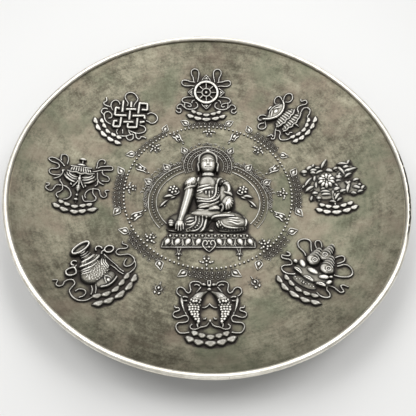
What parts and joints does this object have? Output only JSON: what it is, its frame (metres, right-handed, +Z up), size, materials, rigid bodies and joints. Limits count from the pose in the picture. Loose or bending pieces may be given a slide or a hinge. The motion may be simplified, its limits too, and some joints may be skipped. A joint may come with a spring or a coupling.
{
  "type": "decorative plate",
  "caption": "Round shallow metal plate with a rolled rim, a foot ring and cast reliefs of a seated figure and traditional emblems.",
  "frame": {"origin": "centre of the plate on the plane that the foot ring stands on", "axes": "+Z up out of the plate's well; +X to the right and +Y to the top of the reliefs, with the seated figure facing up out of the plate and its head towards +Y"},
  "size_m": [0.15, 0.15, 0.0189],
  "materials": {
    "antique_silver": "darkened white metal, satin, worn bright on high points",
    "polished_rim": "white metal, burnished bright",
    "rubbed_relief": "the same white metal, dark in the hollows and rubbed bright on the high points"
  },
  "bodies": {
    "root": {"dish": "antique_silver", "rim_wire": "polished_rim", "foot_ring": "antique_silver", "seated_figure": "rubbed_relief", "lotus_throne": "rubbed_relief", "bead_ring": "rubbed_relief", "aureole": "rubbed_relief", "left_flower": "rubbed_relief", "right_flower": "rubbed_relief", "left_drop": "rubbed_relief", "right_drop": "rubbed_relief", "wheel_emblem": "rubbed_relief", "banner_emblem": "rubbed_relief", "lotus_emblem": "rubbed_relief", "shell_emblem": "rubbed_relief", "fish_emblem": "rubbed_relief", "vase_emblem": "rubbed_relief", "parasol_emblem": "rubbed_relief", "knot_emblem": "rubbed_relief"}
  },
  "joints": []
}
